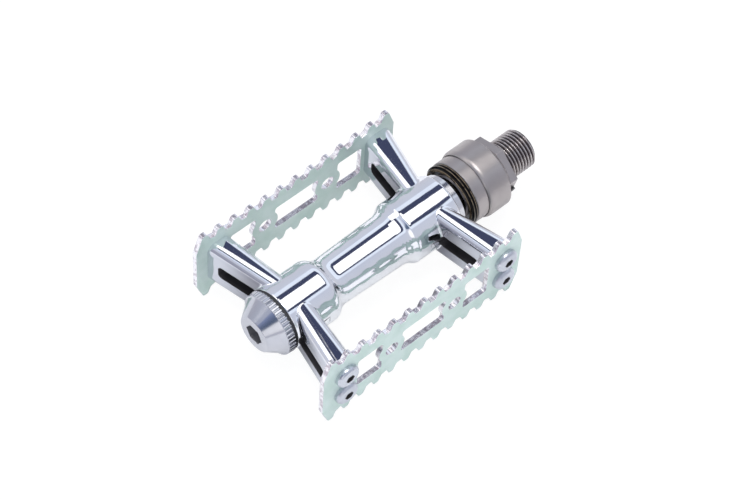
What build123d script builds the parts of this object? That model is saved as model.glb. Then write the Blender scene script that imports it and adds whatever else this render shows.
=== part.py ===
"""Detachable bicycle pedal: a polished body with a toothed cage, and a quick-release crank adapter.

Frame: millimetres. The spindle axis is X, the origin is the point on it at the crank shoulder,
+X runs into the crank and +Z is up. Every turned piece is a profile of (x, radius) about X.
"""
from build123d import *
import math
import os

# Small gaps between pieces
FACE_GAP = 0.05          # between turned faces that only stand next to each other
RUN_GAP = 0.05           # radial, where something turns or slides
THREAD_GAP = 0.02        # radial, screwed or pressed pieces
BOLT_GAP = 0.15          # radial, a screw through a plain hole
STUB_END_GAP = 0.2       # between the stub's end and the floor of its socket
CUT_OVERRUN = 1.0        # how far a cut runs past the surface it opens

# Crank adapter, from the crank shoulder outboard
THREAD_R = 7.14
THREAD_LENGTH = 12.2
THREAD_CHAMFER = 0.7
FLANGE_ACROSS_FLATS = 19.0
FLANGE_THICKNESS = 3.0
FLANGE_TURN = 12.0       # degrees from a flat facing +Y
SHROUD_R = 12.55
SHROUD_WALL = 0.85
SHROUD_TAPER = 1.6
SHROUD_END_R = 10.6
SHROUD_LENGTH = 10.5
MOUTH_RUN = 1.9          # length over which the mouth's edge curves in
MOUTH_LIP = 0.15         # wall left at the tip of the mouth
CHAMBER_DEPTH = 7.3
NOSE_R = 8.2
NOSE_LENGTH = 6.3        # out of the shroud's mouth
FLANGE_PIN_R = 0.9
FLANGE_PIN_X = -1.1
FLANGE_PIN_DEPTH = 2.4
FLANGE_PIN_PROUD = 0.8

# Release collar, its spring, clip and front ring
COLLAR_GAP = 0.1         # radial, between collar and shroud
COLLAR_OUT = 4.7         # length that shows outside the shroud
COLLAR_IN = 2.9          # length hidden in the shroud at rest
COLLAR_WEB = 3.9
COLLAR_TRAVEL = 2.8
COLLAR_EDGE = 0.3
KEY_WIDTH = 2.0
KEY_HEIGHT = 0.4
FRONT_RING_LENGTH = 2.6
FRONT_RING_R = 11.45
FRONT_RING_BORE = 9.9
FRONT_RING_GROOVE = 0.35
CLIP_THICKNESS = 0.8
CLIP_DEPTH = 0.6
CLIP_R = 9.3
CLIP_OPENING = 3.0
SPRING_WIRE = 0.9
SPRING_TURNS = 4
LOCK_RING_WIDTH = 1.4
LOCK_RING_DEPTH = 0.8    # how far it sits in the stub's groove
LOCK_RING_BEHIND_COLLAR_FACE = 1.1
LOCK_RING_BODY = 2.0
LOCK_RING_GAP = 2.0
LUG_COUNT = 3
LUG_WIDTH = 3.0

# Spindle
STUB_R = 5.55
STUB_LENGTH = 11.4
STUB_HEX_LENGTH = 3.1
STUB_ACROSS_FLATS = 8.4
HUB_R = 7.6
HUB_LENGTH = 2.6
SPINDLE_FLANGE_R = 9.7
SPINDLE_FLANGE_THICKNESS = 2.0
SHAFT_R = 5.3
SHAFT_END_R = 4.6
SPINDLE_THREAD_R = 3.95

# Ball bearings
BALL_R = 1.5875
BALL_PITCH_R = 7.1
BALL_COUNT = 13
TRACK_GAP = 0.03         # radial, between ball and track
CUP_R = 9.6
CUP_WALL = 1.0
CUP_DEPTH = 6.0
CUP_HOLE_R = 6.5
CONE_NECK = 2.0
CONE_BACK = 2.4
WASHER_R = 6.2
WASHER_THICKNESS = 1.0
WASHER_KEY_WIDTH = 2.0
WASHER_KEY_DEPTH = 1.0
NUT_ACROSS_FLATS = 12.0
NUT_THICKNESS = 4.0
SPINDLE_PAST_NUT = 1.0

# Pedal body
BODY_FROM_FLANGE = 0.4   # gap between spindle flange and body
BODY_LENGTH = 69.9
BULGE_R = 11.0
INNER_BULGE_R = 11.2
OUTER_BULGE_LENGTH = 17.6
INNER_BULGE_LENGTH = 18.5
OUTER_STEP = 3.2
OUTER_SHOULDER_ROUND = 3.6
OUTER_NECK_ROUND = 6.0
INNER_FLARE = 2.4
INNER_NECK_ROUND = 7.0
INNER_SHOULDER_ROUND = 1.8
WAIST_OUTER_R = 8.5
WAIST_INNER_R = 9.3
BODY_EDGE = 0.8
BODY_BORE_R = 6.9
SEAL_LENGTH = 2.6
SEAL_OUTER_R = 9.9
SEAL_LIP_STEP = 0.8

# Arms
ARM_HEIGHT = 19.0
ARM_TOP_FLAT = 0.4       # left between the rounded long edges at the root
ARM_WIDTH = 7.1
OUTER_ARM_END_WIDTH = 9.2
INNER_ARM_END_WIDTH = 10.4
ARM_ROOT_Y = 4.0         # where the arms end inside the barrel
ARM_JOIN_ROUND = 0.8     # blend between arms and barrel
OUTER_ARM_INSET = 6.05   # from the body's outer end to the arms' roots
INNER_ARM_INSET = 6.75
OUTER_ARM_SPLAY = 4.65   # from the arms' roots to their screws, along the axis
INNER_ARM_SPLAY = 5.45
POCKET_LENGTH = 14.8
POCKET_HEIGHT = 5.6
POCKET_ROUND = 1.6
POCKET_CENTRE_Y = 18.2
POCKET_WEB = 1.8

# Cage plates
CAGE_WIDTH = 63.1        # over the outer faces of both plates
PLATE_THICKNESS = 1.8
PLATE_OVERHANG = 8.1     # past the screws, on average
PLATE_SHIFT = 0.9        # from midway between the screws to the middle of the plates
PLATE_SHOULDER_Z = 9.0
TOOTH_COUNT = 13
TOOTH_INSET = 3.54       # from the plate's end to the middle of the last tooth
TOOTH_BASE = 4.2
TOOTH_TIP = 1.9
TOOTH_HEIGHT = 2.8
TOOTH_ROUND = 0.8
VALLEY_ROUND = 0.4
TIP_Z_MIDDLE = 13.6
TIP_Z_END = 16.2
CLIP_HOLE_R = 2.6
CLIP_HOLE_X = 13.3
CLIP_BOSS_R = 5.3
LONG_WINDOW_HALF = 9.1
LONG_WINDOW_HEIGHT = 11.0
SHORT_WINDOW_START = 17.4
SHORT_WINDOW_END = 27.7
SHORT_WINDOW_HEIGHT = 13.6
WINDOW_ROUND = 1.0

# Cage screws
SCREW_SPACING = 9.7
SCREW_R = 2.0
SCREW_HEAD_R = 4.25
SCREW_HEAD_HEIGHT = 2.3
SCREW_HEAD_ROUND = 1.5
SCREW_LENGTH = 10.0
SCREW_HEX = 3.0
SCREW_HEX_DEPTH = 1.4

# Dust cap
CAP_SEAL_THICKNESS = 0.9
CAP_BAND = 2.6
CAP_BAND_R = 11.2
CAP_LENGTH = 8.0
CAP_FRONT_R = 6.5
CAP_BAND_DROP = 0.2
CAP_CONE_R = 10.4
CAP_FRONT_ROUND = 0.5
CAP_WALL = 1.3
CAP_THREAD_R = 9.8
CAP_THREAD_LENGTH = 3.6
CAP_HEX = 6.5
CAP_HEX_DEPTH = 3.0
CAP_GROOVES = 48
CAP_GROOVE_R = 0.45

# Stations along the axis
shroud_back = -FLANGE_THICKNESS
shroud_mouth = shroud_back - SHROUD_LENGTH
shroud_bore_r = SHROUD_R - SHROUD_WALL
chamber_floor = shroud_mouth + CHAMBER_DEPTH
collar_face = shroud_mouth - COLLAR_OUT
collar_r = shroud_bore_r - COLLAR_GAP
nose_face = shroud_mouth - NOSE_LENGTH
socket_r = STUB_R + RUN_GAP
stub_end = nose_face + STUB_LENGTH
stub_hex_start = stub_end - STUB_HEX_LENGTH
socket_floor = stub_end + STUB_END_GAP
lock_ring_x = collar_face + LOCK_RING_BEHIND_COLLAR_FACE
lock_groove_r = STUB_R - LOCK_RING_DEPTH
flange_inner = nose_face - HUB_LENGTH
flange_outer = flange_inner - SPINDLE_FLANGE_THICKNESS
body_inner = flange_outer - BODY_FROM_FLANGE
body_outer = body_inner - BODY_LENGTH
inner_cup_mouth = body_inner - SEAL_LENGTH
inner_cup_back = inner_cup_mouth - CUP_DEPTH
outer_cup_mouth = body_outer + CAP_THREAD_LENGTH + FACE_GAP
outer_cup_back = outer_cup_mouth + CUP_DEPTH
track_r = BALL_R + TRACK_GAP
inner_ball_x = inner_cup_back + CUP_WALL + track_r
outer_ball_x = outer_cup_back - CUP_WALL - track_r
race_r = BALL_PITCH_R - track_r
cone_end = outer_ball_x + CONE_NECK
cone_back = outer_ball_x - track_r - CONE_BACK
washer_back = cone_back - WASHER_THICKNESS
nut_back = washer_back - NUT_THICKNESS
spindle_end = nut_back - SPINDLE_PAST_NUT
cap_seat = body_outer - CAP_SEAL_THICKNESS
cap_front = cap_seat - CAP_LENGTH
outer_arm_x = body_outer + OUTER_ARM_INSET
inner_arm_x = body_inner - INNER_ARM_INSET
outer_screw_x = outer_arm_x - OUTER_ARM_SPLAY
inner_screw_x = inner_arm_x + INNER_ARM_SPLAY
screw_centre_x = (outer_screw_x + inner_screw_x) / 2
screw_offset_x = inner_screw_x - screw_centre_x
cage_centre_x = screw_centre_x - PLATE_SHIFT
plate_half_length = screw_offset_x + PLATE_OVERHANG
tooth_pitch = 2 * (plate_half_length - TOOTH_INSET) / (TOOTH_COUNT - 1)
plate_outer_y = CAGE_WIDTH / 2
plate_inner_y = plate_outer_y - PLATE_THICKNESS


def turned(points):
    """Turn a closed profile of (x, radius) points about the spindle axis."""
    with BuildPart() as blank:
        with BuildSketch(Plane.XY):
            with BuildLine():
                Polyline(*points, close=True)
            make_face()
        revolve(axis=Axis.X)
    return blank.part


def save(piece, name):
    """Label a finished piece and write its STEP file."""
    piece.label = name
    export_step(piece, f"parts/{name}.step")


def tip_z(x):
    """Height of the tooth tips at a distance from the middle of the plate."""
    end_tooth_x = tooth_pitch * (TOOTH_COUNT - 1) / 2
    return TIP_Z_MIDDLE + (TIP_Z_END - TIP_Z_MIDDLE) * (x / end_tooth_x) ** 2


def toothed_edge():
    """Corner points and rounding of the upper edge of a plate, from -X to +X."""
    corners = [(-plate_half_length, PLATE_SHOULDER_Z)]
    rounds = [TOOTH_ROUND]
    for tooth in range(TOOTH_COUNT):
        x = (tooth - (TOOTH_COUNT - 1) / 2) * tooth_pitch
        tip = tip_z(x)
        first = tooth == 0
        last = tooth == TOOTH_COUNT - 1
        if not first:
            corners.append((x - TOOTH_BASE / 2, tip - TOOTH_HEIGHT))
            rounds.append(VALLEY_ROUND)
        corners.append((x - TOOTH_TIP / 2, tip))
        corners.append((x + TOOTH_TIP / 2, tip))
        rounds.extend([TOOTH_ROUND, TOOTH_ROUND])
        if not last:
            corners.append((x + TOOTH_BASE / 2, tip - TOOTH_HEIGHT))
            rounds.append(VALLEY_ROUND)
    corners.append((plate_half_length, PLATE_SHOULDER_Z))
    rounds.append(TOOTH_ROUND)
    return corners, rounds


def cage_plate(side):
    """A cage plate with teeth above and below, windows and clip holes; side is +1 or -1 in Y."""
    upper, upper_rounds = toothed_edge()
    lower = [(-x, -z) for x, z in upper]
    outline = [(cage_centre_x + x, z) for x, z in upper + lower]
    short_width = SHORT_WINDOW_END - SHORT_WINDOW_START
    short_x = (SHORT_WINDOW_START + SHORT_WINDOW_END) / 2
    with BuildPart() as plate:
        with BuildSketch(Plane.XZ.offset(-side * plate_inner_y)):
            with BuildLine():
                FilletPolyline(*outline, radius=upper_rounds + upper_rounds, close=True)
            make_face()
            with Locations((cage_centre_x, 0)):
                RectangleRounded(2 * LONG_WINDOW_HALF, LONG_WINDOW_HEIGHT, WINDOW_ROUND, mode=Mode.SUBTRACT)
            with Locations((cage_centre_x - short_x, 0), (cage_centre_x + short_x, 0)):
                RectangleRounded(short_width, SHORT_WINDOW_HEIGHT, WINDOW_ROUND, mode=Mode.SUBTRACT)
            with Locations((cage_centre_x - CLIP_HOLE_X, 0), (cage_centre_x + CLIP_HOLE_X, 0)):
                Circle(CLIP_BOSS_R)
                Circle(CLIP_HOLE_R, mode=Mode.SUBTRACT)
            with Locations((screw_centre_x, 0)):
                with GridLocations(2 * screw_offset_x, SCREW_SPACING, 2, 2):
                    Circle(SCREW_R + BOLT_GAP, mode=Mode.SUBTRACT)
        extrude(amount=-side * PLATE_THICKNESS)
    return plate.part


def cage_screws(side):
    """Four low domed screws with hexagon sockets that hold a plate to the arms."""
    face_y = side * plate_outer_y
    tip_y = side * (plate_outer_y - SCREW_LENGTH)
    top_y = side * (plate_outer_y + SCREW_HEAD_HEIGHT)
    rim_y = top_y - side * SCREW_HEAD_ROUND
    flat_r = SCREW_HEAD_R - SCREW_HEAD_ROUND
    diagonal = SCREW_HEAD_ROUND / math.sqrt(2)
    with BuildPart() as screws:
        for x in (outer_screw_x, inner_screw_x):
            for z in (-SCREW_SPACING / 2, SCREW_SPACING / 2):
                with BuildSketch(Plane.XY.offset(z)):
                    with BuildLine():
                        ThreePointArc(
                            (x + SCREW_HEAD_R, rim_y),
                            (x + flat_r + diagonal, rim_y + side * diagonal),
                            (x + flat_r, top_y),
                        )
                        Polyline(
                            (x + flat_r, top_y),
                            (x, top_y),
                            (x, tip_y),
                            (x + SCREW_R, tip_y),
                            (x + SCREW_R, face_y),
                            (x + SCREW_HEAD_R, face_y),
                            (x + SCREW_HEAD_R, rim_y),
                        )
                    make_face()
                revolve(axis=Axis((x, 0, z), (0, 1, 0)))
        with BuildSketch(Plane.XZ.offset(-top_y)):
            with Locations((screw_centre_x, 0)):
                with GridLocations(2 * screw_offset_x, SCREW_SPACING, 2, 2):
                    RegularPolygon(SCREW_HEX / 2, 6, major_radius=False)
        extrude(amount=side * SCREW_HEX_DEPTH, mode=Mode.SUBTRACT)
    return screws.part


def arm_plan(side, root_width, end_width):
    """Corner points, seen from above, of two arms in line: side -1 outboard, +1 inboard."""
    root_x, end_x = (inner_arm_x, inner_screw_x) if side > 0 else (outer_arm_x, outer_screw_x)
    left = [
        (root_x - root_width / 2, ARM_ROOT_Y),
        (end_x - end_width / 2, plate_inner_y),
        (end_x + end_width / 2, plate_inner_y),
        (root_x + root_width / 2, ARM_ROOT_Y),
    ]
    return left + [(x, -y) for x, y in reversed(left)]


def arm_pair(side):
    """Two plain arms with rounded long edges, splayed towards the plates."""
    end_width = INNER_ARM_END_WIDTH if side > 0 else OUTER_ARM_END_WIDTH
    with BuildPart() as arms:
        with BuildSketch(Plane.XY.offset(-ARM_HEIGHT / 2)):
            with BuildLine():
                Polyline(*arm_plan(side, ARM_WIDTH, end_width), close=True)
            make_face()
        extrude(amount=ARM_HEIGHT)
        flat_edges = arms.edges().filter_by(Axis.Z, reverse=True)
        long_edges = flat_edges.filter_by(Axis.X, reverse=True)
        fillet(long_edges, (ARM_WIDTH - ARM_TOP_FLAT) / 2)
    return arms.part


def arm_pockets(side):
    """The hollows of both side faces of an arm pair, with a thin web left in the middle."""
    root_x = inner_arm_x if side > 0 else outer_arm_x
    with BuildPart() as pockets:
        with BuildSketch(Plane.YZ.offset(root_x - side * ARM_WIDTH)):
            with Locations((POCKET_CENTRE_Y, 0), (-POCKET_CENTRE_Y, 0)):
                RectangleRounded(POCKET_LENGTH, POCKET_HEIGHT, POCKET_ROUND)
        extrude(amount=side * 3 * ARM_WIDTH)
        with BuildSketch(Plane.XY.offset(-POCKET_HEIGHT)):
            with BuildLine():
                Polyline(*arm_plan(side, POCKET_WEB, POCKET_WEB), close=True)
            make_face()
        extrude(amount=2 * POCKET_HEIGHT, mode=Mode.SUBTRACT)
    return pockets.part


def pedal_body():
    """The one-piece body: barrel with two bulges, four arms, bearing seats and tapped holes."""
    outer_bulge_end = body_outer + OUTER_BULGE_LENGTH
    inner_bulge_end = body_inner - INNER_BULGE_LENGTH
    outside = [
        (body_outer, 0),
        (body_outer, BULGE_R),
        (outer_bulge_end, BULGE_R),
        (outer_bulge_end + OUTER_STEP, WAIST_OUTER_R),
        (inner_bulge_end - INNER_FLARE, WAIST_INNER_R),
        (inner_bulge_end, INNER_BULGE_R),
        (body_inner, INNER_BULGE_R),
        (body_inner, 0),
    ]
    rounds = [
        0,
        BODY_EDGE,
        OUTER_SHOULDER_ROUND,
        OUTER_NECK_ROUND,
        INNER_NECK_ROUND,
        INNER_SHOULDER_ROUND,
        BODY_EDGE,
        0,
    ]
    seats = [
        (body_outer, 0),
        (body_outer, CAP_THREAD_R),
        (outer_cup_mouth, CAP_THREAD_R),
        (outer_cup_mouth, CUP_R),
        (outer_cup_back, CUP_R),
        (outer_cup_back, BODY_BORE_R),
        (inner_cup_back, BODY_BORE_R),
        (inner_cup_back, CUP_R),
        (inner_cup_mouth, CUP_R),
        (inner_cup_mouth, SEAL_OUTER_R),
        (body_inner, SEAL_OUTER_R),
        (body_inner, 0),
    ]
    with BuildPart() as body:
        with BuildSketch(Plane.XY):
            with BuildLine():
                FilletPolyline(*outside, radius=rounds, close=True)
            make_face()
        revolve(axis=Axis.X)
        for side in (-1, 1):
            add(arm_pair(side))
            fillet(body.edges(Select.NEW), ARM_JOIN_ROUND)
        for side in (-1, 1):
            add(arm_pockets(side), mode=Mode.SUBTRACT)
        with BuildSketch(Plane.XY):
            with BuildLine():
                Polyline(*seats, close=True)
            make_face()
        revolve(axis=Axis.X, mode=Mode.SUBTRACT)
        for side in (-1, 1):
            with BuildSketch(Plane.XZ.offset(-side * plate_inner_y)):
                with Locations((screw_centre_x, 0)):
                    with GridLocations(2 * screw_offset_x, SCREW_SPACING, 2, 2):
                        Circle(SCREW_R)
            extrude(amount=side * (SCREW_LENGTH - PLATE_THICKNESS), mode=Mode.SUBTRACT)
    return body.part


def bearing_cup(mouth, back, ball_x):
    """A pressed cup: a sleeve round the balls and a back wall, joined by the ball track."""
    inward = 1 if back > mouth else -1
    with BuildPart() as cup:
        with BuildSketch(Plane.XY):
            with BuildLine():
                Polyline(
                    (ball_x, BALL_PITCH_R + track_r),
                    (mouth, BALL_PITCH_R + track_r),
                    (mouth, CUP_R),
                    (back, CUP_R),
                    (back, CUP_HOLE_R),
                    (ball_x + inward * track_r, CUP_HOLE_R),
                    (ball_x + inward * track_r, BALL_PITCH_R),
                )
                diagonal = track_r / math.sqrt(2)
                ThreePointArc(
                    (ball_x + inward * track_r, BALL_PITCH_R),
                    (ball_x + inward * diagonal, BALL_PITCH_R + diagonal),
                    (ball_x, BALL_PITCH_R + track_r),
                )
            make_face()
        revolve(axis=Axis.X)
    return cup.part


def ball_set(ball_x):
    """A ring of loose balls."""
    with BuildPart() as balls:
        with Locations(Plane.YZ.offset(ball_x)):
            with PolarLocations(BALL_PITCH_R, BALL_COUNT):
                Sphere(BALL_R)
    return balls.part


def race_profile(ball_x, outward):
    """The inner track: an arc from the neck under the balls up to the shoulder beside them."""
    diagonal = track_r / math.sqrt(2)
    return ThreePointArc(
        (ball_x, race_r),
        (ball_x + outward * diagonal, BALL_PITCH_R - diagonal),
        (ball_x + outward * track_r, BALL_PITCH_R),
    )


def bearing_cone():
    """The outboard cone, screwed on the spindle, whose race holds the balls in their cup."""
    bore = SPINDLE_THREAD_R + THREAD_GAP
    with BuildPart() as cone:
        with BuildSketch(Plane.XY):
            with BuildLine():
                race_profile(outer_ball_x, -1)
                Polyline(
                    (outer_ball_x - track_r, BALL_PITCH_R),
                    (cone_back, BALL_PITCH_R),
                    (cone_back, bore),
                    (cone_end, bore),
                    (cone_end, race_r),
                    (outer_ball_x, race_r),
                )
            make_face()
        revolve(axis=Axis.X)
    return cone.part


def lock_washer():
    """A flat washer with a key that runs in the spindle's keyway."""
    bore = SPINDLE_THREAD_R + THREAD_GAP
    with BuildPart() as washer:
        with BuildSketch(Plane.YZ.offset(washer_back + FACE_GAP)):
            Circle(WASHER_R)
            Circle(bore, mode=Mode.SUBTRACT)
            with Locations((0, bore - WASHER_KEY_DEPTH / 2)):
                Rectangle(WASHER_KEY_WIDTH, WASHER_KEY_DEPTH)
        extrude(amount=WASHER_THICKNESS - 2 * FACE_GAP)
    return washer.part


def lock_nut():
    """The hexagon nut that locks the cone."""
    with BuildPart() as nut:
        with BuildSketch(Plane.YZ.offset(nut_back)):
            RegularPolygon(NUT_ACROSS_FLATS / 2, 6, major_radius=False)
            Circle(SPINDLE_THREAD_R + THREAD_GAP, mode=Mode.SUBTRACT)
        extrude(amount=NUT_THICKNESS)
    return nut.part


def spindle():
    """The spindle: plug-in stub with a lock groove and hexagon end, flange, race, shaft and thread."""
    lock_near = lock_ring_x + LOCK_RING_WIDTH + FACE_GAP
    lock_far = lock_ring_x - FACE_GAP
    with BuildPart() as shaft:
        with BuildSketch(Plane.XY):
            with BuildLine():
                race_profile(inner_ball_x, 1)
                Polyline(
                    (inner_ball_x + track_r, BALL_PITCH_R),
                    (flange_outer, BALL_PITCH_R),
                    (flange_outer, SPINDLE_FLANGE_R),
                    (flange_inner, SPINDLE_FLANGE_R),
                    (flange_inner, HUB_R),
                    (nose_face, HUB_R),
                    (nose_face, STUB_R),
                    (lock_far, STUB_R),
                    (lock_far, lock_groove_r),
                    (lock_near, lock_groove_r),
                    (lock_near, STUB_R),
                    (stub_hex_start, STUB_R),
                    (stub_hex_start, 0),
                    (spindle_end, 0),
                    (spindle_end, SPINDLE_THREAD_R),
                    (cone_end, SPINDLE_THREAD_R),
                    (cone_end, SHAFT_END_R),
                    (inner_ball_x - CONE_NECK, SHAFT_R),
                    (inner_ball_x - CONE_NECK, race_r),
                    (inner_ball_x, race_r),
                )
            make_face()
        revolve(axis=Axis.X)
        with BuildSketch(Plane.YZ.offset(stub_hex_start)):
            RegularPolygon(STUB_ACROSS_FLATS / 2, 6, major_radius=False)
        extrude(amount=STUB_HEX_LENGTH)
        keyway_z = SPINDLE_THREAD_R - WASHER_KEY_DEPTH / 2
        with BuildSketch(Plane.YZ.offset(spindle_end)):
            with Locations((0, keyway_z)):
                Rectangle(WASHER_KEY_WIDTH + 2 * RUN_GAP, WASHER_KEY_DEPTH + 2 * RUN_GAP)
        extrude(amount=cone_back - spindle_end, mode=Mode.SUBTRACT)
    return shaft.part


def spindle_seal():
    """The rubber seal in the inboard end of the barrel, with a thin lip round the spindle."""
    lip_r = BALL_PITCH_R + RUN_GAP
    middle_r = (lip_r + SEAL_OUTER_R) / 2
    outer_r = SEAL_OUTER_R - THREAD_GAP
    return turned([
        (inner_cup_mouth + FACE_GAP, middle_r),
        (inner_cup_mouth + FACE_GAP, outer_r),
        (body_inner, outer_r),
        (body_inner, lip_r),
        (body_inner - SEAL_LIP_STEP, lip_r),
        (body_inner - SEAL_LIP_STEP, middle_r),
    ])


def cap_seal():
    """The black ring between the dust cap and the body."""
    return turned([
        (cap_seat, CAP_THREAD_R + THREAD_GAP),
        (cap_seat, BULGE_R),
        (body_outer, BULGE_R),
        (body_outer, CAP_THREAD_R + THREAD_GAP),
    ])


def dust_cap():
    """The screw-in dust cap: grooved rim, cone, flat front with a hexagon socket, hollow behind."""
    spigot_r = CAP_THREAD_R - THREAD_GAP
    hollow_r = spigot_r - CAP_WALL
    band_front = cap_seat - CAP_BAND
    floor_x = cap_front + CAP_HEX_DEPTH + CAP_WALL
    with BuildPart() as cap:
        with BuildSketch(Plane.XY):
            with BuildLine():
                Polyline(
                    (cap_front, 0),
                    (cap_front, CAP_FRONT_R),
                    (band_front, CAP_CONE_R),
                    (band_front, CAP_BAND_R - CAP_BAND_DROP),
                    (cap_seat, CAP_BAND_R),
                    (cap_seat, spigot_r),
                    (body_outer + CAP_THREAD_LENGTH, spigot_r),
                    (body_outer + CAP_THREAD_LENGTH, hollow_r),
                    (floor_x, hollow_r),
                    (floor_x, 0),
                    close=True,
                )
            make_face()
        revolve(axis=Axis.X)
        front_rim = cap.edges().filter_by(GeomType.CIRCLE).group_by(Axis.X)[0]
        fillet(front_rim, CAP_FRONT_ROUND)
        with BuildSketch(Plane.YZ.offset(cap_front)):
            RegularPolygon(CAP_HEX / 2, 6, major_radius=False)
        extrude(amount=CAP_HEX_DEPTH, mode=Mode.SUBTRACT)
        with BuildSketch(Plane.YZ.offset(cap_seat)):
            with PolarLocations(CAP_BAND_R, CAP_GROOVES):
                Circle(CAP_GROOVE_R)
        extrude(amount=-CAP_BAND, mode=Mode.SUBTRACT)
    return cap.part


def adapter_body():
    """The adapter: crank thread, spanner flange, shroud and nose tube in one turned piece."""
    slot_depth = NOSE_R - socket_r
    ring_seat_r = lock_groove_r + LOCK_RING_BODY + 2 * RUN_GAP
    clip_back = collar_face - CLIP_THICKNESS - FACE_GAP
    mouth_drop = SHROUD_WALL - MOUTH_LIP
    mouth_r = (MOUTH_RUN ** 2 + mouth_drop ** 2) / (2 * mouth_drop)
    mouth_turn = math.degrees(math.asin(MOUTH_RUN / mouth_r))
    with BuildPart() as adapter:
        with BuildSketch(Plane.XY):
            with BuildLine():
                mouth = JernArc((shroud_mouth + MOUTH_RUN, SHROUD_R), (-1, 0), mouth_r, mouth_turn)
                Polyline(
                    mouth @ 1,
                    (shroud_mouth, shroud_bore_r),
                    (chamber_floor, shroud_bore_r),
                    (chamber_floor, NOSE_R),
                    (collar_face, NOSE_R),
                    (collar_face, NOSE_R - CLIP_DEPTH),
                    (clip_back, NOSE_R - CLIP_DEPTH),
                    (clip_back, NOSE_R),
                    (nose_face, NOSE_R),
                    (nose_face, socket_r),
                    (lock_ring_x - RUN_GAP, socket_r),
                    (lock_ring_x - RUN_GAP, ring_seat_r),
                    (lock_ring_x + LOCK_RING_WIDTH + RUN_GAP, ring_seat_r),
                    (lock_ring_x + LOCK_RING_WIDTH + RUN_GAP, socket_r),
                    (stub_hex_start, socket_r),
                    (stub_hex_start, 0),
                    (THREAD_LENGTH, 0),
                    (THREAD_LENGTH, THREAD_R - THREAD_CHAMFER),
                    (THREAD_LENGTH - THREAD_CHAMFER, THREAD_R),
                    (0, THREAD_R),
                    (shroud_back, THREAD_R),
                    (shroud_back, SHROUD_END_R),
                    (shroud_back - SHROUD_TAPER, SHROUD_R),
                    mouth @ 0,
                )
            make_face()
        revolve(axis=Axis.X)
        with BuildSketch(Plane.YZ.offset(shroud_back)):
            RegularPolygon(FLANGE_ACROSS_FLATS / 2, 6, major_radius=False, rotation=FLANGE_TURN + 30)
        extrude(amount=FLANGE_THICKNESS)
        with BuildSketch(Plane.YZ.offset(stub_hex_start)):
            RegularPolygon(STUB_ACROSS_FLATS / 2 + RUN_GAP, 6, major_radius=False)
        extrude(amount=socket_floor - stub_hex_start, mode=Mode.SUBTRACT)
        with BuildSketch(Plane.YZ.offset(lock_ring_x - RUN_GAP)):
            with PolarLocations(socket_r + slot_depth / 2, LUG_COUNT):
                Rectangle(slot_depth + CUT_OVERRUN, LUG_WIDTH + 2 * RUN_GAP)
        extrude(amount=LOCK_RING_WIDTH + 2 * RUN_GAP, mode=Mode.SUBTRACT)
        with BuildSketch(Plane.YZ.offset(lock_ring_x + LOCK_RING_WIDTH + 4 * RUN_GAP)):
            with Locations((0, NOSE_R)):
                Rectangle(KEY_WIDTH, 2 * KEY_HEIGHT)
        extrude(amount=COLLAR_WEB + COLLAR_TRAVEL - LOCK_RING_WIDTH)
        with BuildSketch(flange_pin_plane()):
            Circle(FLANGE_PIN_R)
        extrude(amount=-FLANGE_PIN_DEPTH, mode=Mode.SUBTRACT)
    return adapter.part


def flange_pin_plane():
    """The plane of the flange flat that faces -Y, with its centre on the flat's middle."""
    angle = math.radians(180 + FLANGE_TURN)
    outward = Vector(0, math.cos(angle), math.sin(angle))
    middle = outward * (FLANGE_ACROSS_FLATS / 2)
    return Plane(origin=(FLANGE_PIN_X, middle.Y, middle.Z), x_dir=(1, 0, 0), z_dir=outward)


def flange_pin():
    """The small peg that stands out of one flat of the spanner flange."""
    with BuildPart() as pin:
        with BuildSketch(flange_pin_plane().offset(-FLANGE_PIN_DEPTH)):
            Circle(FLANGE_PIN_R)
        extrude(amount=FLANGE_PIN_DEPTH + FLANGE_PIN_PROUD)
    return pin.part


def release_collar():
    """The sliding collar: a web on the nose tube and a sleeve that runs into the shroud."""
    bore = NOSE_R + RUN_GAP
    web_back = collar_face + COLLAR_WEB
    collar_back = shroud_mouth + COLLAR_IN
    spring_r = NOSE_R + RUN_GAP + SPRING_WIRE + 4 * RUN_GAP
    with BuildPart() as collar:
        with BuildSketch(Plane.XY):
            with BuildLine():
                Polyline(
                    (collar_face, bore),
                    (collar_face, collar_r - COLLAR_EDGE),
                    (collar_face + COLLAR_EDGE, collar_r),
                    (collar_back, collar_r),
                    (collar_back, spring_r + KEY_HEIGHT),
                    (web_back, spring_r + KEY_HEIGHT),
                    (web_back, bore),
                    close=True,
                )
            make_face()
        revolve(axis=Axis.X)
        with BuildSketch(Plane.YZ.offset(collar_face)):
            with Locations((0, NOSE_R)):
                Rectangle(KEY_WIDTH + 2 * RUN_GAP, 2 * (KEY_HEIGHT + RUN_GAP))
        extrude(amount=COLLAR_WEB, mode=Mode.SUBTRACT)
    return collar.part


def front_ring():
    """The black ring on the collar's front face, with two shallow grooves round it."""
    front = collar_face - FRONT_RING_LENGTH
    groove = FRONT_RING_LENGTH / 7
    dip_r = FRONT_RING_R - FRONT_RING_GROOVE
    return turned([
        (collar_face, FRONT_RING_BORE),
        (collar_face, FRONT_RING_R),
        (collar_face - 2 * groove, FRONT_RING_R),
        (collar_face - 2 * groove, dip_r),
        (collar_face - 3 * groove, dip_r),
        (collar_face - 3 * groove, FRONT_RING_R),
        (collar_face - 5 * groove, FRONT_RING_R),
        (collar_face - 5 * groove, dip_r),
        (collar_face - 6 * groove, dip_r),
        (front, dip_r - FRONT_RING_GROOVE),
        (front, FRONT_RING_BORE),
    ])


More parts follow.
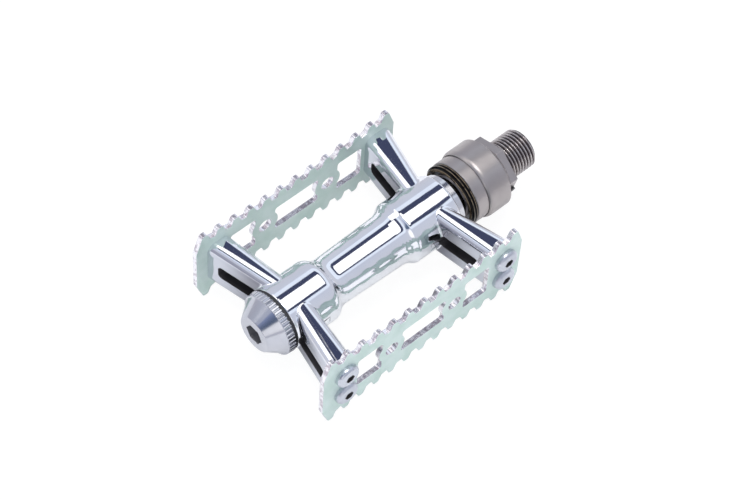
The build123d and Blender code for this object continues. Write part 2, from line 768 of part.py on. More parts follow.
def collar_clip():
    """The open spring clip at the end of the nose tube that stops the collar."""
    inner_r = NOSE_R - CLIP_DEPTH + THREAD_GAP
    with BuildPart() as clip:
        with BuildSketch(Plane.YZ.offset(collar_face - CLIP_THICKNESS)):
            Circle(CLIP_R)
            Circle(inner_r, mode=Mode.SUBTRACT)
            with Locations((0, -CLIP_R)):
                Rectangle(CLIP_OPENING, CLIP_R, mode=Mode.SUBTRACT)
        extrude(amount=CLIP_THICKNESS - FACE_GAP)
    return clip.part


def lock_ring():
    """The open lock ring in the stub's groove, with lugs that reach the collar's bore."""
    inner_r = lock_groove_r + RUN_GAP
    outer_r = lock_groove_r + LOCK_RING_BODY
    lug_reach = NOSE_R - RUN_GAP
    lug_middle = (outer_r + lug_reach) / 2 - RUN_GAP
    with BuildPart() as ring:
        with BuildSketch(Plane.YZ.offset(lock_ring_x)):
            Circle(outer_r)
            with PolarLocations(lug_middle, LUG_COUNT):
                Rectangle(lug_reach - outer_r + CUT_OVERRUN, LUG_WIDTH)
            Circle(lug_reach, mode=Mode.INTERSECT)
            Circle(inner_r, mode=Mode.SUBTRACT)
            with Locations((-outer_r, 0)):
                Rectangle(2 * LOCK_RING_BODY + CUT_OVERRUN, LOCK_RING_GAP, mode=Mode.SUBTRACT)
        extrude(amount=LOCK_RING_WIDTH)
    return ring.part


def return_spring():
    """The coil spring between the collar's web and the floor of the shroud."""
    start = collar_face + COLLAR_WEB + SPRING_WIRE / 2 + FACE_GAP
    end = chamber_floor - SPRING_WIRE / 2 - FACE_GAP
    coil_r = NOSE_R + KEY_HEIGHT + 2 * RUN_GAP + SPRING_WIRE / 2
    length = end - start
    with BuildPart() as spring:
        with BuildLine():
            coil = Helix(length / SPRING_TURNS, length, coil_r, center=(start, 0, 0), direction=(1, 0, 0))
        with BuildSketch(Plane(origin=coil @ 0, z_dir=coil % 0)):
            Circle(SPRING_WIRE / 2)
        sweep(is_frenet=True)
    return spring.part


def main():
    os.makedirs("parts", exist_ok=True)
    save(pedal_body(), "pedal_body")
    save(cage_plate(1), "cage_plate_left")
    save(cage_plate(-1), "cage_plate_right")
    save(cage_screws(1), "cage_screws_left")
    save(cage_screws(-1), "cage_screws_right")
    save(bearing_cup(inner_cup_mouth, inner_cup_back, inner_ball_x), "inboard_cup")
    save(bearing_cup(outer_cup_mouth, outer_cup_back, outer_ball_x), "outboard_cup")
    save(ball_set(inner_ball_x), "inboard_balls")
    save(ball_set(outer_ball_x), "outboard_balls")
    save(bearing_cone(), "bearing_cone")
    save(lock_washer(), "lock_washer")
    save(lock_nut(), "lock_nut")
    save(spindle(), "spindle")
    save(spindle_seal(), "spindle_seal")
    save(cap_seal(), "cap_seal")
    save(dust_cap(), "dust_cap")
    save(adapter_body(), "adapter_body")
    save(flange_pin(), "flange_pin")
    save(release_collar(), "release_collar")
    save(front_ring(), "front_ring")
    save(collar_clip(), "collar_clip")
    save(lock_ring(), "lock_ring")
    save(return_spring(), "return_spring")


main()
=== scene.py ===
"""Looks of the detachable bicycle pedal: materials, the crank thread, the spring and a pale studio."""
import math
import bpy
import bmesh
from mathutils import Matrix, Vector


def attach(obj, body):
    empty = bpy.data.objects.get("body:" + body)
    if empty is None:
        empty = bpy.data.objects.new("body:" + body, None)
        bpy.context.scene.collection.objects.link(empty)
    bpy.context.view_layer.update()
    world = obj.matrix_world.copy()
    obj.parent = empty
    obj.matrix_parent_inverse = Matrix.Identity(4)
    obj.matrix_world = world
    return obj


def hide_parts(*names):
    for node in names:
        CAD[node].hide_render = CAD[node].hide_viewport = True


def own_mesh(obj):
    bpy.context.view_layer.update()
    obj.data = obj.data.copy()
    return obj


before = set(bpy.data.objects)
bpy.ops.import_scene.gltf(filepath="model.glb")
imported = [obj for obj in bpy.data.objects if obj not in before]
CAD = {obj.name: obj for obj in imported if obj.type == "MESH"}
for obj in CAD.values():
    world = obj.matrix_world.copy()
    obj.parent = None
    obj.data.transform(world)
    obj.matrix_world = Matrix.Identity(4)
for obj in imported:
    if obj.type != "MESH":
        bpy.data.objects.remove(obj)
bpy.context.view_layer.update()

MM = 0.001

# Crank thread, in millimetres
THREAD_R = 7.14
THREAD_LENGTH = 12.2
THREAD_CHAMFER = 0.9
THREAD_PITCH = 1.27
THREAD_DEPTH = 0.74
THREAD_CREST = 0.16               # where the crest ends, as a share of the way from crest to root
THREAD_ROOT = 0.84                # where the root starts
THREAD_START = 0.2                # where the cut starts to deepen
THREAD_START_LENGTH = 0.9
THREAD_START_DEPTH = 0.35         # share of the full depth at the shoulder
THREAD_AROUND = 128               # corners of each ring of the mesh
THREAD_RINGS = 18                 # rings of the mesh in each pitch
THREAD_BACK = (-0.3, 0.6)         # place and inset of the hidden end
THREAD_TIP = (THREAD_LENGTH, 1.2)

# Return spring, in millimetres
SPRING_WIRE = 0.9
SPRING_R = 9.15
SPRING_START = -13.85
SPRING_FLOOR = -6.2
SPRING_GAP = 0.05
SPRING_TURNS = 4
SPRING_CLOSED = 0.08              # share of the wire in each closed end
SPRING_RINGS = 48                 # rings of the mesh in each turn
WIRE_AROUND = 12

# Places of the solids that the finishes follow, in millimetres
RING_FRONT = -20.8
RING_GROOVE = 2.6 / 7
ARM_ROOT_X = (-88.65, -31.55)     # outboard and inboard
ARM_END_X = (-93.3, -26.1)
ARM_ROOT_WIDTH = 7.1
ARM_END_WIDTH = (9.2, 10.4)
ARM_ROOT_Y = 4.0
ARM_END_Y = 29.75
POCKET_Y = (10.6, 25.8)
POCKET_Z = 2.9
POCKET_SKIN = 0.05                # a face this far inside the arm's side lies in its pocket
CAP_FRONT = -103.6
CAP_SOCKET_R = 3.8
CAP_SOCKET_REACH = 3.1            # its depth and a little more
SCREW_SPACING = 9.7
SCREW_TOP_Y = 33.85
SCREW_SOCKET_R = 1.75
SCREW_SOCKET_REACH = 1.45
SOCKET_SKIN = 0.02

# Painted shade on the arms' sides: how squarely a face looks along x, and distances from the middle in
# metres
ARM_SIDE_FACING = (0.75, 0.93)
ARM_SIDE_START = (0.0085, 0.0100)
ARM_SHADE_FADE = (0.009, 0.027)

# Texture scales and other settings that the finishes share
SMUDGE_SCALE = 90.0
GRAIN_SCALE = 2600.0
RINGS_TO_GRAIN = 1.5
BEVEL_SAMPLES = 6
# The front ring's tan lines are painted highlights.
TAN_HIGHLIGHT_EVERY = 3.0              # grooves from one line to the next
TAN_HIGHLIGHT_EDGE = (0.13, 0.06)
TAN_HIGHLIGHT_SHARE = 0.6

# Studio, in metres
FLOOR_Z = -16.25 * MM
FLOOR_X = -0.05
FLOOR_HALF = 2.0
FLOOR_WHITE = 0.92
FLOOR_SHADED = (0.12, 0.12, 0.12, 1.0)      # the part of the white that the object's shadow takes away
FLOOR_IN_METAL = 0.3              # share of the floor's added white that reflections show

# Overhead panels, in the plane one unit above the part: centre, half size, corner and softness
HALO = ((0.50, 0.15), (1.30, 1.00), 0.30, 0.08)
DARK_FRAME = ((0.08, 0.04), (0.64, 0.64), 0.28, 0.012)
SOFTBOX = ((0.12, -0.07), (0.43, 0.41), 0.26, 0.010)
NEAR_WING = ((0.03, 0.25), (0.34, 0.22), 0.04, 0.012)
FAR_WING = ((-0.58, 0.85), (0.48, 0.32), 0.05, 0.012)
HOT_CENTRE = ((-0.04, 0.0), (0.15, 0.20), 0.14, 0.05)

# Side screen and bright spot, by their directions from the part
SCREEN_X = (-0.55, -0.66)
SCREEN_Y = (-0.42, 0.10)
SCREEN_Z = (0.48, 0.72)
SPOT_DIRECTION = (-0.752, -0.571, 0.331)
SPOT_EDGE = (0.955, 0.985)


# Node helpers

class Nodes:
    """A small wrapper that adds shader nodes with their inputs in one call."""

    def __init__(self, tree):
        self.tree = tree
        tree.nodes.clear()

    def add(self, kind, *links, **settings):
        node = self.tree.nodes.new(kind)
        for key, value in settings.items():
            setattr(node, key, value)
        for key, value in links:
            if isinstance(value, bpy.types.NodeSocket):
                self.tree.links.new(value, node.inputs[key])
            else:
                node.inputs[key].default_value = value
        return node

    def math(self, operation, a, b=0.0):
        return self.add("ShaderNodeMath", (0, a), (1, b), operation=operation).outputs[0]

    def times(self, a, b):
        return self.math("MULTIPLY", a, b)

    def minus(self, a, b):
        return self.math("SUBTRACT", a, b)

    def size(self, value):
        return self.math("ABSOLUTE", value)

    def rise(self, start, span, share):
        """A start plus a share of a span."""
        return self.math("ADD", start, self.times(share, span))

    def diagonal(self, a, b):
        return self.math("SQRT", self.math("ADD", self.times(a, a), self.times(b, b)))

    def xyz(self, vector):
        parts = self.add("ShaderNodeSeparateXYZ", (0, vector)).outputs
        return parts[0], parts[1], parts[2]

    def mix(self, factor, a, b):
        """Mixes two colours, each a socket or a colour."""
        return self.add("ShaderNodeMix", (0, factor), (6, a), (7, b), data_type="RGBA").outputs[2]

    def remap(self, value, low, high):
        """Eases from 0 at one limit to 1 at the other, which may be the lower one."""
        return self.add("ShaderNodeMapRange", (0, value), (1, low), (2, high),
                        interpolation_type="SMOOTHSTEP").outputs[0]

    def noise(self, vector, scale, detail):
        return self.add("ShaderNodeTexNoise", ("Vector", vector), ("Scale", scale),
                        ("Detail", detail)).outputs["Fac"]

    def show(self, shader, kind="ShaderNodeOutputMaterial"):
        self.add(kind, (0, shader.outputs[0]))


def new_material(name):
    material = bpy.data.materials.new(name)
    material.use_nodes = True
    return material, Nodes(material.node_tree)


def rgb(r, g, b):
    return (r, g, b, 1.0)


# Materials

def metal(name, colour, worn, roughness, grain, ring_scale=0.0, bevel=0.0, waves=0.0,
          metallic=1.0, tint=None):
    """A metal whose colour and gloss vary with smudges, with fine grain, turning rings and eased edges."""
    material, n = new_material(name)
    coords = n.add("ShaderNodeTexCoord")
    place = coords.outputs["Object"]
    smudge = n.noise(place, SMUDGE_SCALE, 4.0)
    colours = n.mix(n.remap(smudge, 0.35, 0.7), colour, worn)
    if tint:
        colours = tint(n, coords, colours)
    gloss = n.rise(roughness[0], roughness[1] - roughness[0], n.remap(smudge, 0.3, 0.75))
    height = n.times(n.noise(place, GRAIN_SCALE, 2.0), grain)
    if ring_scale:
        x, y, z = n.xyz(place)
        run = n.math("ADD", x, n.diagonal(y, z))
        rings = n.add("ShaderNodeTexNoise", ("W", n.times(run, ring_scale)), ("Scale", 1.0),
                      ("Detail", 3.0), noise_dimensions="1D").outputs["Fac"]
        height = n.rise(height, grain * RINGS_TO_GRAIN, rings)
    if waves:
        height = n.rise(height, waves, n.noise(place, 160.0, 1.0))
    bump = n.add("ShaderNodeBump", ("Height", height), ("Strength", 1.0), ("Distance", 1.0))
    if bevel:
        eased = n.add("ShaderNodeBevel", ("Radius", bevel * MM), samples=BEVEL_SAMPLES)
        n.tree.links.new(eased.outputs[0], bump.inputs["Normal"])
    shader = n.add("ShaderNodeBsdfPrincipled", ("Base Color", colours), ("Metallic", metallic),
                   ("Roughness", gloss), ("Normal", bump.outputs[0]))
    n.show(shader)
    return material


def painted_arm_side_shade(n, coords, colours):
    """Paints shade on the flat sides of the body's arms, the darker the nearer the barrel."""
    facing = n.xyz(coords.outputs["Normal"])[0]
    reach = n.size(n.xyz(coords.outputs["Object"])[1])
    side = n.times(n.remap(n.size(facing), *ARM_SIDE_FACING), n.remap(reach, *ARM_SIDE_START))
    # These two colours are painted shade, darkest at the barrel.
    shade = n.mix(n.remap(reach, *ARM_SHADE_FADE), rgb(0.25, 0.25, 0.29), rgb(0.62, 0.64, 0.70))
    return n.mix(side, colours, shade)


def rubber(name, colour, roughness):
    """A dark matt finish with cloudy colour and fine specks, for rubber and black parts, and as painted
    shade in hollows.
    """
    material, n = new_material(name)
    place = n.add("ShaderNodeTexCoord").outputs["Object"]
    speck = n.noise(place, 1500.0, 3.0)
    cloud = n.noise(place, 120.0, 2.0)
    paler = rgb(*(min(1.0, part * 1.9) for part in colour[:3]))
    tint = n.mix(n.remap(cloud, 0.35, 0.7), colour, paler)
    gloss = n.rise(roughness, 0.18, cloud)
    bump = n.add("ShaderNodeBump", ("Height", speck), ("Strength", 0.25), ("Distance", 0.00008))
    shader = n.add("ShaderNodeBsdfPrincipled", ("Base Color", tint), ("Roughness", gloss),
                   ("Normal", bump.outputs[0]))
    n.show(shader)
    return material


def plate_anodised():
    """Pale green satin faces, and pinkish cut edges with painted glints and fine striations across them.
    """
    material, n = new_material("plate_anodised")
    coords = n.add("ShaderNodeTexCoord")
    place = coords.outputs["Object"]
    facing = n.xyz(coords.outputs["Normal"])[1]
    face = n.remap(n.size(facing), 0.6, 0.85)
    cloud = n.noise(place, 130.0, 3.0)
    green = n.mix(n.remap(cloud, 0.35, 0.68), rgb(0.60, 0.72, 0.675), rgb(0.52, 0.66, 0.60))
    # The pale specks on the cut edges are painted glints.
    painted_glints = n.noise(place, 620.0, 2.0)
    pink = n.mix(n.remap(painted_glints, 0.36, 0.56), rgb(0.58, 0.53, 0.58), rgb(0.94, 0.92, 0.95))
    colour = n.mix(face, pink, green)
    gloss = n.rise(0.2, 0.2, face)
    metallic = n.rise(0.85, -0.55, face)
    stretched = n.add("ShaderNodeMapping", ("Vector", place), ("Scale", (2500.0, 120.0, 2500.0)))
    lines = n.times(n.noise(stretched.outputs[0], 1.0, 2.0), n.minus(1.0, face))
    grain = n.noise(place, GRAIN_SCALE, 2.0)
    height = n.math("ADD", n.times(grain, 0.000004), n.times(lines, 0.000018))
    eased = n.add("ShaderNodeBevel", ("Radius", 0.2 * MM), samples=BEVEL_SAMPLES)
    bump = n.add("ShaderNodeBump", ("Height", height), ("Distance", 1.0), ("Normal", eased.outputs[0]))
    shader = n.add("ShaderNodeBsdfPrincipled", ("Base Color", colour), ("Metallic", metallic),
                   ("Roughness", gloss), ("Normal", bump.outputs[0]))
    n.show(shader)
    return material


def thread_metal():
    """Bright crests and roots darkened with painted shade, told apart by their distance from the axis."""
    material, n = new_material("thread_steel")
    place = n.add("ShaderNodeTexCoord").outputs["Object"]
    y, z = n.xyz(place)[1:]
    crest = n.remap(n.diagonal(y, z), (THREAD_R - THREAD_DEPTH) * MM, THREAD_R * MM)
    smudge = n.noise(place, 500.0, 3.0)
    bright = n.mix(n.remap(smudge, 0.35, 0.7), rgb(0.60, 0.56, 0.55), rgb(0.48, 0.44, 0.44))
    # The near-black root colour is painted shade in the thread's grooves.
    colour = n.mix(crest, rgb(0.085, 0.075, 0.078), bright)
    gloss = n.rise(0.18, 0.12, smudge)
    grain = n.noise(place, GRAIN_SCALE, 2.0)
    bump = n.add("ShaderNodeBump", ("Height", grain), ("Distance", 0.000003))
    shader = n.add("ShaderNodeBsdfPrincipled", ("Base Color", colour), ("Metallic", 1.0),
                   ("Roughness", gloss), ("Normal", bump.outputs[0]))
    n.show(shader)
    return material


def ring_finish():
    """Gloss black with a thin tan painted highlight, broken up by noise, along every third groove."""
    material, n = new_material("front_ring_black")
    place = n.add("ShaderNodeTexCoord").outputs["Object"]
    along = n.xyz(place)[0]
    steps = n.times(n.minus(along, RING_FRONT * MM), 1.0 / (TAN_HIGHLIGHT_EVERY * RING_GROOVE * MM))
    near = n.size(n.minus(n.math("FRACT", n.math("ADD", steps, 0.5)), 0.5))
    worn = n.noise(place, 700.0, 3.0)
    # The tan line is a painted highlight; the noise breaks it up and varies the gloss.
    line = n.times(n.remap(near, *TAN_HIGHLIGHT_EDGE), n.remap(worn, 0.30, 0.50))
    colour = n.mix(n.times(line, TAN_HIGHLIGHT_SHARE), rgb(0.002, 0.0015, 0.0015), rgb(0.34, 0.26, 0.17))
    gloss = n.rise(0.10, 0.15, worn)
    bump = n.add("ShaderNodeBump", ("Height", worn), ("Distance", 0.000004))
    shader = n.add("ShaderNodeBsdfPrincipled", ("Base Color", colour), ("Roughness", gloss),
                   ("Specular IOR Level", 0.25), ("Normal", bump.outputs[0]))
    n.show(shader)
    return material


# The tint paints shade on the arms' flat sides.
polished = metal("polished_aluminium", rgb(0.90, 0.91, 0.94), rgb(0.85, 0.86, 0.90), (0.03, 0.08),
                 grain=0.0000006, bevel=0.45, waves=0.00003, tint=painted_arm_side_shade)
# Painted shade for the hollows of the arms' pockets and the screws' sockets.
hollow_shade = rubber("hollow_painted_shade", rgb(0.034, 0.031, 0.034), 0.40)
# Painted shade inside the dust cap's hexagon socket.
cap_socket_shade = metal("cap_socket_painted_shade", rgb(0.34, 0.34, 0.36), rgb(0.20, 0.20, 0.22), (0.30, 0.42),
                    grain=0.000003, metallic=0.6)
plate_finish = plate_anodised()
satin_steel = metal("adapter_satin_steel", rgb(0.44, 0.405, 0.397), rgb(0.385, 0.353, 0.349), (0.32, 0.40),
                    grain=0.000003, ring_scale=9000.0, bevel=0.3)
screw_steel = metal("screw_steel", rgb(0.62, 0.64, 0.70), rgb(0.54, 0.56, 0.62), (0.24, 0.36),
                    grain=0.000003, bevel=0.15)
cap_metal = metal("cap_satin_aluminium", rgb(0.62, 0.63, 0.68), rgb(0.55, 0.56, 0.61), (0.12, 0.19),
                  grain=0.000002, ring_scale=7000.0, bevel=0.12)
spindle_steel = metal("spindle_ground_steel", rgb(0.72, 0.72, 0.74), rgb(0.62, 0.62, 0.65), (0.12, 0.22),
                      grain=0.000002, ring_scale=6000.0, bevel=0.15)
bearing_steel = metal("bearing_steel", rgb(0.60, 0.60, 0.62), rgb(0.50, 0.50, 0.53), (0.12, 0.20),
                      grain=0.000001, bevel=0.1)
spring_steel = metal("spring_wire_steel", rgb(0.42, 0.42, 0.44), rgb(0.32, 0.32, 0.34), (0.28, 0.40),
                     grain=0.000003)
black_ring = ring_finish()
black_peg = rubber("flange_pin_black", rgb(0.010, 0.010, 0.012), 0.30)
seal_black = rubber("seal_rubber", rgb(0.016, 0.016, 0.018), 0.52)

FINISH = {
    "pedal_body": polished,
    "cage_plate_left": plate_finish,
    "cage_plate_right": plate_finish,
    "cage_screws_left": screw_steel,
    "cage_screws_right": screw_steel,
    "inboard_cup": bearing_steel,
    "outboard_cup": bearing_steel,
    "inboard_balls": bearing_steel,
    "outboard_balls": bearing_steel,
    "bearing_cone": bearing_steel,
    "lock_washer": bearing_steel,
    "lock_nut": bearing_steel,
    "spindle": spindle_steel,
    "spindle_seal": seal_black,
    "cap_seal": seal_black,
    "dust_cap": cap_metal,
    "flange_pin": black_peg,
    "release_collar": satin_steel,
    "front_ring": black_ring,
    "collar_clip": spring_steel,
    "lock_ring": spring_steel,
}
for node, finish in FINISH.items():
    CAD[node].data.materials.clear()
    CAD[node].data.materials.append(finish)


# Painted shade in the solids' hollows

def in_pocket(point):
    """Whether a point lies in the hollow of an arm's side face."""
    reach = abs(point.y)
    if abs(point.z) > POCKET_Z or not POCKET_Y[0] < reach < POCKET_Y[1]:
        return False
    share = (reach - ARM_ROOT_Y) / (ARM_END_Y - ARM_ROOT_Y)
    for root, end, end_width in zip(ARM_ROOT_X, ARM_END_X, ARM_END_WIDTH):
        middle = root + (end - root) * share
        half = (ARM_ROOT_WIDTH + (end_width - ARM_ROOT_WIDTH) * share) / 2
        if abs(point.x - middle) < half - POCKET_SKIN:
            return True
    return False


def in_cap_socket(point):
    """Whether a point lies in the dust cap's hexagon socket."""
    depth = point.x - CAP_FRONT
    return SOCKET_SKIN < depth < CAP_SOCKET_REACH and point.yz.length < CAP_SOCKET_R


def in_screw_socket(point):
    """Whether a point lies in the hexagon socket of a cage screw."""
    off = min(math.hypot(point.x - x, abs(point.z) - SCREW_SPACING / 2) for x in ARM_END_X)
    depth = SCREW_TOP_Y - abs(point.y)
    return off < SCREW_SOCKET_R and SOCKET_SKIN < depth < SCREW_SOCKET_REACH


def paint_shade_on(name, finish, inside):
    """Paints shade, as a second material, on the faces whose centres, in millimetres, pass a test."""
    data = CAD[name].data
    data.materials.append(finish)
    for face in data.polygons:
        if inside(face.center / MM):
            face.material_index = 1


paint_shade_on("pedal_body", hollow_shade, in_pocket)
paint_shade_on("dust_cap", cap_socket_shade, in_cap_socket)
paint_shade_on("cage_screws_left", hollow_shade, in_screw_socket)
paint_shade_on("cage_screws_right", hollow_shade, in_screw_socket)


# Pieces of the scene's own

def to_object(name, bm, finish):
    """Turns a bmesh into an object with one finish, and frees the bmesh."""
    data = bpy.data.meshes.new(name)
    bm.to_mesh(data)
    bm.free()
    data.materials.append(finish)
    piece = bpy.data.objects.new(name, data)
    bpy.context.collection.objects.link(piece)
    return piece


def shade_smooth(piece, corner=180.0):
    """Shades a piece smooth, apart from the corners sharper than an angle in degrees."""
    bm = bmesh.new()
    bm.from_mesh(piece.data)
    for face in bm.faces:
        face.smooth = True
    for edge in bm.edges:
        edge.smooth = edge.calc_face_angle(0.0) < math.radians(corner)
    bm.to_mesh(piece.data)
    bm.free()


def clamp(value):
    return min(max(value, 0.0), 1.0)


def skin(bm, low, high):
    """Closes the band between two rings of vertices."""
    for k in range(len(low)):
        m = (k + 1) % len(low)
        bm.faces.new((low[k], low[m], high[m], high[k]))


def ring_about_axis(bm, x, radius_at):
    """A ring of the thread's vertices, with a radius for each share of a turn."""
    ring = []
    for k in range(THREAD_AROUND):
        turn = k / THREAD_AROUND
        a = 2 * math.pi * turn
        r = radius_at(turn)
        ring.append(bm.verts.new((x * MM, r * math.cos(a) * MM, r * math.sin(a) * MM)))
    return ring


def thread_radius(x, turn):
    """Radius of the thread's surface at a place along the axis and a share of a turn."""
    phase = (x / THREAD_PITCH - turn) % 1.0
    slope = abs(phase - 0.5) * 2.0
    cut = THREAD_DEPTH * clamp((slope - THREAD_CREST) / (THREAD_ROOT - THREAD_CREST))
    start = clamp((x - THREAD_START) / THREAD_START_LENGTH)
    surface = THREAD_R - cut * (THREAD_START_DEPTH + (1.0 - THREAD_START_DEPTH) * start)
    tip = THREAD_R - max(0.0, x - (THREAD_LENGTH - THREAD_CHAMFER))
    return min(surface, tip)


def crank_thread():
    """The cut thread as one closed skin."""
    bm = bmesh.new()
    steps = int(THREAD_LENGTH / THREAD_PITCH * THREAD_RINGS)
    rings = []
    for i in range(steps + 1):
        x = THREAD_LENGTH * i / steps
        rings.append(ring_about_axis(bm, x, lambda turn: thread_radius(x, turn)))
    for low, high in zip(rings, rings[1:]):
        skin(bm, low, high)
    for ring, (x, inset) in ((rings[0], THREAD_BACK), (rings[-1], THREAD_TIP)):
        inner = ring_about_axis(bm, x, lambda turn: THREAD_R - THREAD_DEPTH - inset)
        skin(bm, ring, inner)
        middle = bm.verts.new((x * MM, 0, 0))
        for k in range(THREAD_AROUND):
            bm.faces.new((inner[k], inner[(k + 1) % THREAD_AROUND], middle))
    bmesh.ops.recalc_face_normals(bm, faces=bm.faces)
    piece = to_object("crank_thread_ridges", bm, thread_metal())
    shade_smooth(piece, 50)
    return piece


def adapter_shell():
    """The adapter without its plain thread cylinder, which the real thread stands for."""
    bm = bmesh.new()
    bm.from_mesh(CAD["adapter_body"].data)
    bmesh.ops.remove_doubles(bm, verts=bm.verts, dist=1e-7)
    cut = bmesh.ops.bisect_plane(bm, geom=bm.verts[:] + bm.edges[:] + bm.faces[:], dist=1e-8,
                                 plane_co=(0.00002, 0, 0), plane_no=(1, 0, 0), clear_outer=True)
    rim = [part for part in cut["geom_cut"] if isinstance(part, bmesh.types.BMEdge)]
    bmesh.ops.triangle_fill(bm, edges=rim, use_beauty=True)
    bmesh.ops.recalc_face_normals(bm, faces=bm.faces)
    piece = to_object("adapter_shell", bm, satin_steel)
    shade_smooth(piece, 28)
    return piece


def return_spring():
    """A coil of round wire with closed ends, from the collar's web to the floor of the shroud."""
    bm = bmesh.new()
    wire = SPRING_WIRE / 2
    start = SPRING_START + wire
    end = SPRING_FLOOR - wire - SPRING_GAP
    along = SPRING_RINGS * SPRING_TURNS
    rings = []
    for i in range(along + 1):
        share = i / along
        x = start + (end - start) * clamp((share - SPRING_CLOSED) / (1.0 - 2.0 * SPRING_CLOSED))
        a = 2 * math.pi * SPRING_TURNS * share
        out = Vector((0, math.cos(a), math.sin(a)))
        ring = []
        for k in range(WIRE_AROUND):
            b = 2 * math.pi * k / WIRE_AROUND
            point = out * (SPRING_R + wire * math.cos(b)) + Vector((x + wire * math.sin(b), 0, 0))
            ring.append(bm.verts.new(point * MM))
        rings.append(ring)
    for low, high in zip(rings, rings[1:]):
        skin(bm, low, high)
    bm.faces.new(rings[0])
    bm.faces.new(reversed(rings[-1]))
    bmesh.ops.recalc_face_normals(bm, faces=bm.faces)
    piece = to_object("return_spring_coil", bm, spring_steel)
    shade_smooth(piece)
    return piece


shell = adapter_shell()
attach(shell, "adapter")
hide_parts("adapter_body")

thread = crank_thread()
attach(thread, "adapter")
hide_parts("adapter_body")

spring = return_spring()
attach(spring, "adapter")
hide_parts("return_spring")
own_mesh(spring)


# Studio

def floor_paper():
    """Pale paper that the camera and glass see as white, and reflections in part."""
    material, n = new_material("floor_paper")
    path = n.add("ShaderNodeLightPath")
    paper = n.noise(n.add("ShaderNodeTexCoord").outputs["Object"], 400.0, 3.0)
    tone = n.mix(paper, rgb(0.86, 0.86, 0.87), rgb(0.90, 0.90, 0.905))
    matte = n.add("ShaderNodeBsdfDiffuse", ("Color", tone))
    shaded = n.add("ShaderNodeBsdfDiffuse", ("Color", FLOOR_SHADED))
    white = n.add("ShaderNodeEmission", ("Color", rgb(1, 1, 1)), ("Strength", FLOOR_WHITE))
    shown = n.add("ShaderNodeAddShader", (0, shaded.outputs[0]), (1, white.outputs[0]))
    seen = n.math("MAXIMUM", path.outputs["Is Camera Ray"], path.outputs["Is Transmission Ray"])
    seen = n.math("MAXIMUM", seen, n.times(path.outputs["Is Glossy Ray"], FLOOR_IN_METAL))
    n.show(n.add("ShaderNodeMixShader", (0, seen), (1, matte.outputs[0]), (2, shown.outputs[0])))
    return material


def floor_sheet():
    """A wide pale sheet of paper under the part."""
    bm = bmesh.new()
    bmesh.ops.create_grid(bm, x_segments=24, y_segments=24, size=FLOOR_HALF)
    for vert in bm.verts:
        vert.co.z = FLOOR_Z
        vert.co.x += FLOOR_X
    sheet = to_object("floor_sheet", bm, floor_paper())


def panel(n, across, along, centre, half, corner, soft):
    """Mask of a rounded rectangle overhead."""
    dx = n.math("MAXIMUM", n.minus(n.size(n.minus(across, centre[0])), half[0] - corner), 0.0)
    dy = n.math("MAXIMUM", n.minus(n.size(n.minus(along, centre[1])), half[1] - corner), 0.0)
    return n.remap(n.diagonal(dx, dy), corner + soft, corner - soft)


def slab(n, value, limits, soft):
    """Mask of the values between two limits, with soft ends."""
    low, high = limits
    return n.times(n.remap(value, low - soft, low + soft), n.remap(value, high + soft, high - soft))


def room_colour(n, direction):
    """Pale walls with a bluish side screen, a bright spot and a darker outboard end."""
    x, y, z = n.xyz(direction)
    room = n.mix(n.remap(z, -0.6, 0.5), rgb(0.64, 0.60, 0.64), rgb(0.62, 0.65, 0.74))
    room = n.mix(n.remap(z, 0.35, 0.95), room, rgb(0.58, 0.62, 0.75))
    spot = n.add("ShaderNodeVectorMath", (0, direction), (1, SPOT_DIRECTION), operation="DOT_PRODUCT")
    room = n.mix(n.remap(spot.outputs["Value"], *SPOT_EDGE), room, rgb(1.15, 1.15, 1.18))
    side = n.times(n.remap(x, *SCREEN_X), n.times(slab(n, y, SCREEN_Y, 0.03), slab(n, z, SCREEN_Z, 0.04)))
    screen = n.mix(n.remap(y, -0.35, 0.2), rgb(0.11, 0.15, 0.24), rgb(0.30, 0.37, 0.62))
    room = n.mix(side, room, screen)
    return n.mix(n.remap(x, -0.80, -0.90), room, rgb(0.36, 0.37, 0.45))


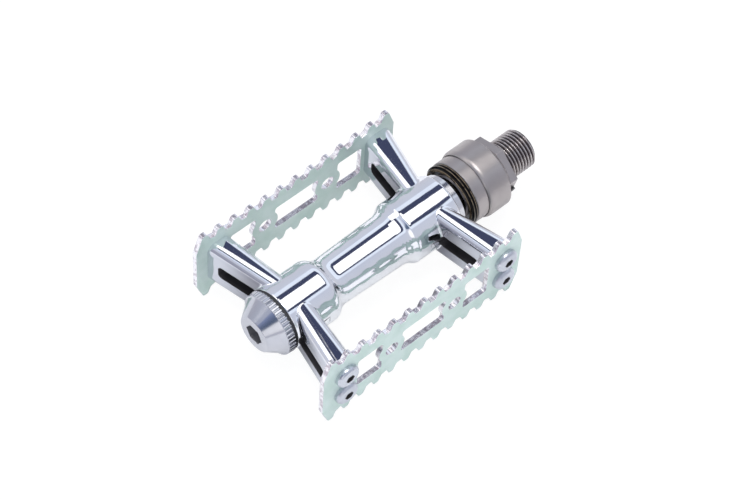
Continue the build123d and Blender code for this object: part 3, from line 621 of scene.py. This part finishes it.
def studio():
    """A pale room with a white softbox overhead in a dark frame, and two wings beside it."""
    world = bpy.data.worlds.new("studio")
    bpy.context.scene.world = world
    world.use_nodes = True
    n = Nodes(world.node_tree)
    direction = n.add("ShaderNodeTexCoord").outputs["Generated"]
    x, y, z = n.xyz(direction)
    height = n.math("MAXIMUM", z, 0.02)
    across = n.math("DIVIDE", x, height)
    along = n.math("DIVIDE", y, height)
    above = n.remap(z, 0.03, 0.10)
    halo, frame_edge, softbox, near_wing, far_wing, centre = (
        n.times(panel(n, across, along, *shape), above)
        for shape in (HALO, DARK_FRAME, SOFTBOX, NEAR_WING, FAR_WING, HOT_CENTRE))
    white_panels = n.math("MAXIMUM", softbox, n.math("MAXIMUM", near_wing, far_wing))
    colour = n.mix(halo, room_colour(n, direction), rgb(0.84, 0.91, 1.03))
    colour = n.mix(frame_edge, colour, rgb(0.055, 0.065, 0.125))
    colour = n.mix(white_panels, colour, rgb(1.5, 1.5, 1.5))
    colour = n.mix(centre, colour, rgb(9.0, 9.0, 9.0))
    lit = n.add("ShaderNodeBackground", (0, colour), (1, 1.0))
    white = n.add("ShaderNodeBackground", (0, rgb(1, 1, 1)), (1, 1.0))
    path = n.add("ShaderNodeLightPath")
    seen = n.math("MAXIMUM", path.outputs["Is Camera Ray"], path.outputs["Is Transmission Ray"])
    shown = n.add("ShaderNodeMixShader", (0, seen), (1, lit.outputs[0]), (2, white.outputs[0]))
    n.show(shown, "ShaderNodeOutputWorld")


def lamp(name, place, target, size, watts):
    """A square lamp that lights the part but isn't reflected in it."""
    data = bpy.data.lights.new(name, "AREA")
    data.shape = "RECTANGLE"
    data.size = size
    data.size_y = size
    data.energy = watts
    light = bpy.data.objects.new(name, data)
    bpy.context.collection.objects.link(light)
    light.location = place
    aim = Vector(target) - Vector(place)
    light.rotation_euler = aim.to_track_quat("-Z", "Y").to_euler()
    light.visible_glossy = False


def camera():
    """The photograph's viewing angle: a long lens above the outboard end."""
    turn, rise, roll = (math.radians(v) for v in (-45.404, 55.064, 4.637))
    distance = 0.793677
    target = Vector((-0.052951, 0.0, -0.00024))
    back = Vector((math.sin(turn) * math.cos(rise), -math.cos(turn) * math.cos(rise), math.sin(rise)))
    right = Vector((math.cos(turn), math.sin(turn), 0.0))
    up = back.cross(right)
    side = right * math.cos(roll) + up * math.sin(roll)
    top = up * math.cos(roll) - right * math.sin(roll)
    data = bpy.data.cameras.new("photo_camera")
    data.lens = 118.75
    data.sensor_width = 36.0
    data.clip_start = 0.01
    data.clip_end = 20.0
    view = bpy.data.objects.new("photo_camera", data)
    bpy.context.collection.objects.link(view)
    rows = Matrix((side, top, back)).transposed().to_4x4()
    rows.translation = target + back * distance
    view.matrix_world = rows
    bpy.context.scene.camera = view


floor_sheet()
studio()
lamp("key_lamp", (0.10, 0.15, 0.55), (-0.05, 0, 0), 0.40, 0.2)
lamp("front_lamp", (-0.45, -0.80, 0.45), (-0.05, 0, 0), 0.60, 2.0)
camera()
bpy.context.scene.view_settings.view_transform = "Standard"
